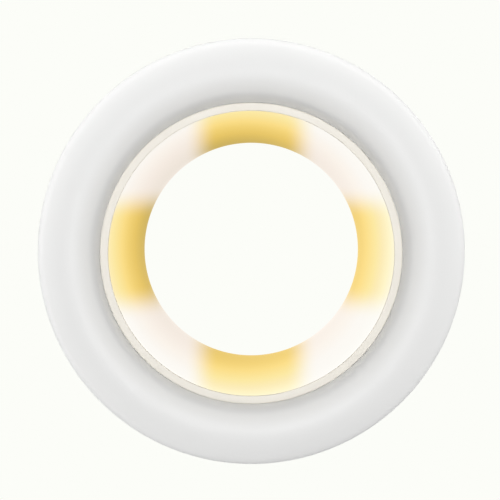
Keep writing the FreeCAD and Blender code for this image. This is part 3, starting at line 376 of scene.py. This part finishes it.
class AP_OT_front_cover(bpy.types.Operator):
    """Spins the rounded ring-shaped cover"""
    bl_idname = "access_point.front_cover"
    bl_label = "Front cover"

    def execute(self, context):
        sizes, finishes = context.scene.shell_sizes, context.scene.finishes
        outer, crest_z, rear_z = COVER_HIGH.x, COVER_LOW.z, COVER_HIGH.z
        wall, crest = sizes.cover_wall, outer - sizes.crest_inset
        corner, tilt = sizes.shoulder_inset, sizes.shoulder_tilt
        roof_bend = (sizes.crest_inset - corner) / math.sin(tilt)
        corner_bend = corner / (1 - math.sin(tilt))
        corner_z = crest_z + roof_bend * (1 - math.cos(tilt))
        widest_z = corner_z + corner_bend * math.cos(tilt)
        flange = BEZEL_HIGH.x + sizes.seam
        valley, valley_z = flange + sizes.valley_floor, crest_z + sizes.valley_recess
        side_bend = (sizes.edge_taper ** 2 + (rear_z - widest_z) ** 2) / (2 * sizes.edge_taper)
        slope_bend = ((crest - valley) ** 2 + sizes.valley_recess ** 2) / (2 * sizes.valley_recess)
        seat_z, inner, lip = FUNNEL_LOW.z + sizes.flange_reach, flange + wall, sizes.edge_round
        meet_z = crest_z + slope_bend - math.sqrt((slope_bend - wall) ** 2 - (crest - inner) ** 2)
        inner_edge = outer - side_bend + math.sqrt((side_bend - wall) ** 2 - (rear_z - widest_z) ** 2)

        section = Section(outer - sizes.edge_taper - lip, rear_z)
        section.arc(outer - sizes.edge_taper, rear_z - lip, lip, -1, 4)
        section.arc(outer, widest_z, side_bend, -1, 14)
        section.arc(outer - corner, corner_z, corner_bend, -1, 20)
        section.arc(crest, crest_z, roof_bend, -1, 14)
        section.arc(valley, valley_z, slope_bend, -1, 28)
        section.line(flange, valley_z).line(flange, seat_z).line(inner, seat_z).line(inner, meet_z)
        section.arc(crest, crest_z + wall, slope_bend - wall, 1, 12)
        inner_corner = outer - corner - wall * math.sin(tilt)
        section.arc(inner_corner, corner_z + wall * math.cos(tilt), roof_bend - wall, 1, 8)
        section.arc(outer - wall, widest_z, corner_bend - wall, 1, 8)
        section.arc(inner_edge, rear_z, side_bend - wall, 1, 6)

        shape = section.ring(sizes.ring_steps)
        self.add_posts(shape, sizes, crest_z + wall * POST_COVER, rear_z - sizes.post_inset)
        # Spark-eroded tool: a clean white with soft, wide highlights and a fine even grain
        white = plastic("polycarbonate_white_spark_eroded", finishes.cover, ior=1.58, grain=1.0,
                        roughness=0.52)
        white.node_tree.nodes["Principled BSDF"].inputs["Specular IOR Level"].default_value = finishes.gloss
        # Painted shade: the groove beside the bezel is made darker in the cover's colour
        self.paint_groove_shade(white.node_tree, finishes, flange)
        finished("front_cover_shell", shape, "unit", white, "cover_white", "front_cover")
        return {"FINISHED"}

    def paint_groove_shade(self, tree, finishes, flange):
        """Painted shade in the groove beside the bezel: the cover's colour is made darker there, fading out
        away from the bezel.
        """
        surface = tree.nodes["Principled BSDF"]
        unshaded = surface.inputs["Base Color"].links[0].from_socket
        place = add(tree, "ShaderNodeTexCoord").outputs["Object"]
        flat, radius = from_axis(tree, place)
        kept = add(tree, "ShaderNodeMapRange", {
            "Value": radius, "From Min": flange, "From Max": flange + finishes.groove_width,
            "To Min": 1 - finishes.groove_painted_shade}, interpolation_type="SMOOTHSTEP")
        groove_shade_mix = add(tree, "ShaderNodeMix", {
            "Factor": 1.0, COLOUR_A: unshaded, COLOUR_B: kept.outputs["Result"]},
            data_type="RGBA", blend_type="MULTIPLY")
        tree.links.new(groove_shade_mix.outputs[COLOUR_OUT], surface.inputs["Base Color"])

    def add_posts(self, shape, sizes, low_z, high_z):
        """Four hollow screw posts, which run from the roof to the back."""
        bore, radius, away = sizes.post_bore, sizes.post_radius, sizes.post_circle * math.sqrt(0.5)
        posts = Section(bore, low_z).line(radius, low_z).line(radius, high_z).line(bore, high_z).ring(32)
        bmesh.ops.translate(posts, verts=posts.verts, vec=(away, away, 0))
        bmesh.ops.spin(posts, geom=posts.verts[:] + posts.edges[:] + posts.faces[:], cent=(0, 0, 0),
                       axis=(0, 0, 1), angle=math.radians(270), steps=3, use_duplicate=True)
        mesh = bpy.data.meshes.new("screw_posts")
        posts.to_mesh(mesh)
        posts.free()
        shape.from_mesh(mesh)
        bpy.data.meshes.remove(mesh)


class AP_OT_bezel(bpy.types.Operator):
    """Spins the thin lip round the light"""
    bl_idname = "access_point.bezel"
    bl_label = "Bezel"

    def execute(self, context):
        sizes, finishes = context.scene.shell_sizes, context.scene.finishes
        outer, face_z, rear_z, under_z = BEZEL_HIGH.x, BEZEL_LOW.z, BEZEL_HIGH.z, FUNNEL_LOW.z
        inner, leg = outer - sizes.bezel_width, outer - sizes.bezel_leg
        soft, crisp = sizes.bezel_outer_round, sizes.bezel_inner_round
        section = Section(inner, under_z).line(inner, face_z + crisp)
        section.arc(inner + crisp, face_z, crisp, 1, 6).line(outer - soft, face_z)
        section.arc(outer, face_z + soft, soft, 1, 10)
        section.line(outer, rear_z).line(leg, rear_z).line(leg, under_z)

        # Ground and blasted tool: a warmer, smoother white than the cover's
        ivory = plastic("polycarbonate_ivory_satin", finishes.bezel, ior=1.58, grain=0.6, depth=0.005,
                        roughness=0.55)
        finished("bezel_lip", section.ring(sizes.ring_steps), "unit", ivory, "bezel_ivory", "bezel_ring")
        return {"FINISHED"}


class AP_OT_diffuser(bpy.types.Operator):
    """Spins the frosted funnel of the halo light"""
    bl_idname = "access_point.diffuser"
    bl_label = "Light diffuser"

    def execute(self, context):
        sizes, finishes = context.scene.shell_sizes, context.scene.finishes
        rim, rim_z, rear_z = BEZEL_HIGH.x - sizes.bezel_width, FUNNEL_LOW.z, FUNNEL_HIGH.z
        hole, wall, edge = sizes.hole_radius, sizes.funnel_wall, sizes.hole_round
        throat_z = rear_z - sizes.throat_straight
        reach, depth = rim - hole, throat_z - rim_z
        bend = (reach ** 2 + depth ** 2) / (2 * reach)
        meet = hole + bend - math.sqrt((bend - wall) ** 2 - (depth - wall) ** 2)
        section = Section(hole + edge, rear_z).arc(hole, rear_z - edge, edge, 1, 4).line(hole, throat_z)
        section.arc(rim, rim_z, bend, 1, 40).line(FUNNEL_HIGH.x, rim_z).line(FUNNEL_HIGH.x, rim_z + wall)
        section.line(meet, rim_z + wall).arc(hole + wall, throat_z, bend - wall, -1, 14)
        section.line(hole + wall, rear_z)
        frost = frosted_light(finishes, rim, hole)
        finished("halo_diffuser", section.ring(sizes.ring_steps), "unit", frost, "diffuser_frost",
                 "light_diffuser")
        return {"FINISHED"}


# ---------------------------------------------------------------- nodes that keep their own shape
class AP_OT_mounting_parts(bpy.types.Operator):
    """Dresses the bracket, the rear base, the lock and the fixings"""
    bl_idname = "access_point.mounting_parts"
    bl_label = "Mounting parts"

    def execute(self, context):
        finishes = context.scene.finishes
        dress(
            # Textured tool: a dull, even grey that shows every rib by its shade
            bracket_grey=plastic("abs_grey_textured", finishes.bracket, depth=0.03, roughness=0.55),
            # Textured tool: an even white, a little darker than the cover
            base_white=plastic("abs_white_textured", finishes.base, depth=0.025, roughness=0.5),
            # Slippery resin from a polished tool: dark, with a waxy sheen
            latch_grey=plastic("acetal_dark_grey", finishes.latch, ior=1.48, depth=0.008, roughness=0.36),
            # As the latch, in black
            button_black=plastic("acetal_black", linear("#1c1c1d"), ior=1.48, depth=0.008, roughness=0.38),
            # Bright zinc over turned steel: a cool grey shine, blotchy at close range
            steel=metal("steel_zinc_plated", "#b9bab8", 0.32),
            # Printed film without print: flat and slightly off white
            label_paper=plastic("polyester_label_matt", linear("#e6e6e2"), ior=1.6, grain=0.5, depth=0.004))
        return {"FINISHED"}


class AP_OT_light_parts(bpy.types.Operator):
    """Dresses the light's tray, its board and its diodes"""
    bl_idname = "access_point.light_parts"
    bl_label = "Light parts"

    def execute(self, context):
        dress(
            # Filled with pigment to throw light forwards: chalky, bright white
            frame_white=plastic("polycarbonate_reflector_white", linear("#f0f0ee"), ior=1.58,
                                roughness=0.6),
            # White mask over fibreglass: smooth, with the weave just showing
            board_white=plastic("fibreglass_white_mask", linear("#ecebe6"), grain=0.6, depth=0.008,
                                roughness=0.33),
            # Silicone full of phosphor: deep yellow, glossy and domed
            led_amber=plastic("silicone_phosphor_amber", linear("#f2b544"), ior=1.41, roughness=0.2),
            # The same with less phosphor: pale yellow when it is off
            led_white=plastic("silicone_phosphor_pale", linear("#f2edc4"), ior=1.41, roughness=0.2))
        return {"FINISHED"}


class AP_OT_electronics(bpy.types.Operator):
    """Dresses the main board and everything that stands on it"""
    bl_idname = "access_point.electronics"
    bl_label = "Electronics"

    def execute(self, context):
        dress(
            # Green mask over copper and fibreglass: darker where copper lies under it
            board_green=plastic("fibreglass_green_mask", linear("#12573a"), grain=0.6, depth=0.01,
                                roughness=0.3, spread=0.25),
            # Epoxy filled with silica: matt black with a grey bloom
            chip_black=plastic("epoxy_moulded_black", linear("#1b1b1c"), grain=0.4, depth=0.01,
                               roughness=0.6),
            # Glass-filled: black with a slightly streaky gloss
            connector_black=plastic("nylon_glass_filled_black", linear("#161616"), roughness=0.5,
                                    rough_spread=0.1),
            # Soft filled sheet: dull blue-grey, faintly dimpled
            pad_grey=plastic("silicone_thermal_pad", linear("#74808c"), ior=1.41, depth=0.05,
                             roughness=0.7),
            # Extruded jacket: smooth and slightly waxy
            lead_grey=plastic("fluoropolymer_jacket_grey", linear("#4b4b4d"), ior=1.35, depth=0.004,
                              roughness=0.35),
            # Pressed and fired powder: almost black, with grains that catch the light
            ferrite=plastic("ferrite_pressed", linear("#2a2827"), grain=0.4, depth=0.03, roughness=0.7,
                            spread=0.2),
            # Tin over drawn steel: soft mirror with a yellowish cast
            tin_can=metal("tinplate_drawn", "#c9c8c2", 0.28),
            # Cast and bead-blasted: pale, even and dull
            aluminium=metal("aluminium_die_cast", "#c2c4c6", 0.42, grain=0.8, depth=0.015),
            # Thin gold over bronze: bright warm yellow
            gold=metal("bronze_gold_flashed", "#d9b25e", 0.22),
            # Drawn can under clear film: smooth pale grey
            can_aluminium=metal("aluminium_drawn_can", "#c8cacc", 0.25))
        return {"FINISHED"}


# ---------------------------------------------------------------- stage
SOFT_BOX_PLACE = (0, -0.10, -1.30)
# Where the camera looks, from the middle of the widest circle, so the ring sits a little low in the view
FRAMING = (-0.6 * MM, -1.2 * MM, 0)
# Towards the side of the horizon that lights the cover's edge most, and how far a direction leans that
# way where the band along the horizon is dimmest and brightest
BRIGHT_SIDE = (-0.26, -0.97, 0)
LEAN_DIM, LEAN_BRIGHT = -1.0, -0.1
# Sine of the height at which the band starts and is full, and at which it ends and the sky is full
BAND_START, BAND_FULL, BAND_END, SKY_FULL = -0.005, 0.015, 0.10, 0.20
SENSOR_WIDTH = 36
VIEW_END = 30
FLOOR_SIDES = 96
BLACK = (0, 0, 0, 1)


def aim(thing, target):
    """Turns a light or a camera to look at a point."""
    thing.rotation_mode = "QUATERNION"
    thing.rotation_quaternion = (Vector(target) - thing.location).to_track_quat("-Z", "Y")


class AP_OT_stage(bpy.types.Operator):
    """Sets up the floor, the backdrop, the lights and the camera"""
    bl_idname = "access_point.stage"
    bl_label = "Stage"

    def execute(self, context):
        scene, settings = context.scene, context.scene.stage_settings
        scene.view_settings.view_transform = "Standard"
        middle = Vector((0, 0, COVER_LOW.z + scene.shell_sizes.crest_inset))
        self.lay_floor(scene, settings)
        self.light_world(scene, settings)
        self.hang_soft_box(scene, settings, middle)
        self.place_camera(scene, settings, middle)
        return {"FINISHED"}

    def lay_floor(self, scene, settings):
        """A wide matt floor far below, which fades into the backdrop and throws no light up."""
        disc = bmesh.new()
        bmesh.ops.create_circle(disc, cap_ends=True, segments=FLOOR_SIDES, radius=settings.floor_radius)
        bmesh.ops.translate(disc, verts=disc.verts, vec=(0, 0, -settings.floor_drop))
        mesh = bpy.data.meshes.new("floor")
        disc.to_mesh(mesh)
        disc.free()
        # Matt paint: no highlight, only an even pale tone
        material, tree, place, surface = new_material("floor_paint_matt")
        surface.inputs["Roughness"].default_value = 1.0
        surface.inputs["Specular IOR Level"].default_value = 0.0
        surface.inputs["Emission Strength"].default_value = 1.0
        flat, away = from_axis(tree, place)
        fade = add(tree, "ShaderNodeMapRange", {
            "Value": away, "From Min": settings.fade_start, "From Max": settings.fade_end},
            interpolation_type="SMOOTHSTEP")
        paint = add(tree, "ShaderNodeMix", {
            "Factor": fade.outputs["Result"], COLOUR_A: list(settings.floor), COLOUR_B: BLACK},
            data_type="RGBA")
        glow = add(tree, "ShaderNodeMix", {
            "Factor": fade.outputs["Result"], COLOUR_A: BLACK, COLOUR_B: list(settings.backdrop)},
            data_type="RGBA")
        tree.links.new(paint.outputs[COLOUR_OUT], surface.inputs["Base Color"])
        tree.links.new(glow.outputs[COLOUR_OUT], surface.inputs["Emission Color"])
        mesh.materials.append(material)
        floor = bpy.data.objects.new("floor", mesh)
        scene.collection.objects.link(floor)
        floor.visible_diffuse = False
        floor.visible_glossy = False

    def light_world(self, scene, settings):
        """An even backdrop, with a bright band along the horizon, a soft sky and a dim room below."""
        world = bpy.data.worlds.new("pale_studio")
        world.use_nodes = True
        scene.world = world
        tree = world.node_tree
        tree.nodes.clear()
        way = add(tree, "ShaderNodeTexCoord").outputs["Generated"]
        height = add(tree, "ShaderNodeSeparateXYZ", {"Vector": way}).outputs["Z"]
        rise = add(tree, "ShaderNodeMapRange", {
            "Value": height, "From Min": BAND_START, "From Max": BAND_FULL}, interpolation_type="SMOOTHSTEP")
        top = add(tree, "ShaderNodeMapRange", {
            "Value": height, "From Min": BAND_END, "From Max": SKY_FULL}, interpolation_type="SMOOTHSTEP")
        lean = add(tree, "ShaderNodeVectorMath", {0: way, 1: BRIGHT_SIDE}, operation="DOT_PRODUCT")
        band = add(tree, "ShaderNodeMapRange", {
            "Value": lean.outputs["Value"], "From Min": LEAN_DIM, "From Max": LEAN_BRIGHT,
            "To Min": settings.rim_low, "To Max": settings.rim_high})
        sky = add(tree, "ShaderNodeMix", {
            "Factor": top.outputs["Result"],
            NUMBER_A: band.outputs["Result"], NUMBER_B: settings.sky_light}, data_type="FLOAT")
        strength = add(tree, "ShaderNodeMix", {
            "Factor": rise.outputs["Result"],
            NUMBER_A: settings.room_light, NUMBER_B: sky.outputs[NUMBER_OUT]}, data_type="FLOAT")
        light = add(tree, "ShaderNodeBackground", {
            "Color": linear("#ffffff"), "Strength": strength.outputs[NUMBER_OUT]})
        drop = add(tree, "ShaderNodeBackground", {"Color": list(settings.backdrop)})
        seen = add(tree, "ShaderNodeLightPath").outputs["Is Camera Ray"]
        both = add(tree, "ShaderNodeMixShader", {0: seen, 1: light.outputs[0], 2: drop.outputs[0]})
        add(tree, "ShaderNodeOutputWorld", {"Surface": both.outputs[0]})

    def hang_soft_box(self, scene, settings, middle):
        """A round soft box in front of the cover, which the camera doesn't see."""
        data = bpy.data.lights.new("soft_box_in_front", "AREA")
        data.shape = "DISK"
        data.size = settings.front_size
        data.energy = settings.front_light
        light = bpy.data.objects.new("soft_box_in_front", data)
        scene.collection.objects.link(light)
        light.location = SOFT_BOX_PLACE
        light.visible_camera = False
        aim(light, middle)

    def place_camera(self, scene, settings, middle):
        """A long lens below the part, almost on its axis."""
        data = bpy.data.cameras.new("camera")
        data.lens = settings.lens
        data.sensor_width = SENSOR_WIDTH
        data.clip_end = VIEW_END
        camera = bpy.data.objects.new("camera", data)
        scene.collection.objects.link(camera)
        lean = settings.camera_lean
        aside = middle + Vector(FRAMING)
        camera.location = aside + settings.camera_distance * Vector((0, -math.sin(lean), -math.cos(lean)))
        aim(camera, aside)
        scene.camera = camera


class AP_PT_panel(bpy.types.Panel):
    """Lists the steps that make the access point"""
    bl_idname = "AP_PT_panel"
    bl_label = "Access point"
    bl_space_type = "VIEW_3D"
    bl_region_type = "UI"
    bl_category = "Access Point"

    def draw(self, context):
        for step in STEPS:
            self.layout.operator(step.bl_idname)


STEPS = (AP_OT_front_cover, AP_OT_bezel, AP_OT_diffuser, AP_OT_mounting_parts, AP_OT_light_parts,
         AP_OT_electronics, AP_OT_stage)
GROUPS = {"shell_sizes": ShellSizes, "finishes": Finishes, "stage_settings": StageSettings}


def register():
    for name, group in GROUPS.items():
        bpy.utils.register_class(group)
        setattr(bpy.types.Scene, name, bpy.props.PointerProperty(type=group))
    for step in STEPS:
        bpy.utils.register_class(step)
    bpy.utils.register_class(AP_PT_panel)


def unregister():
    bpy.utils.unregister_class(AP_PT_panel)
    for step in reversed(STEPS):
        bpy.utils.unregister_class(step)
    for name, group in GROUPS.items():
        delattr(bpy.types.Scene, name)
        bpy.utils.unregister_class(group)


def main():
    register()
    bpy.ops.access_point.front_cover()
    bpy.ops.access_point.bezel()
    bpy.ops.access_point.diffuser()
    bpy.ops.access_point.mounting_parts()
    bpy.ops.access_point.light_parts()
    bpy.ops.access_point.electronics()
    bpy.ops.access_point.stage()


if __name__ == "__main__":
    main()
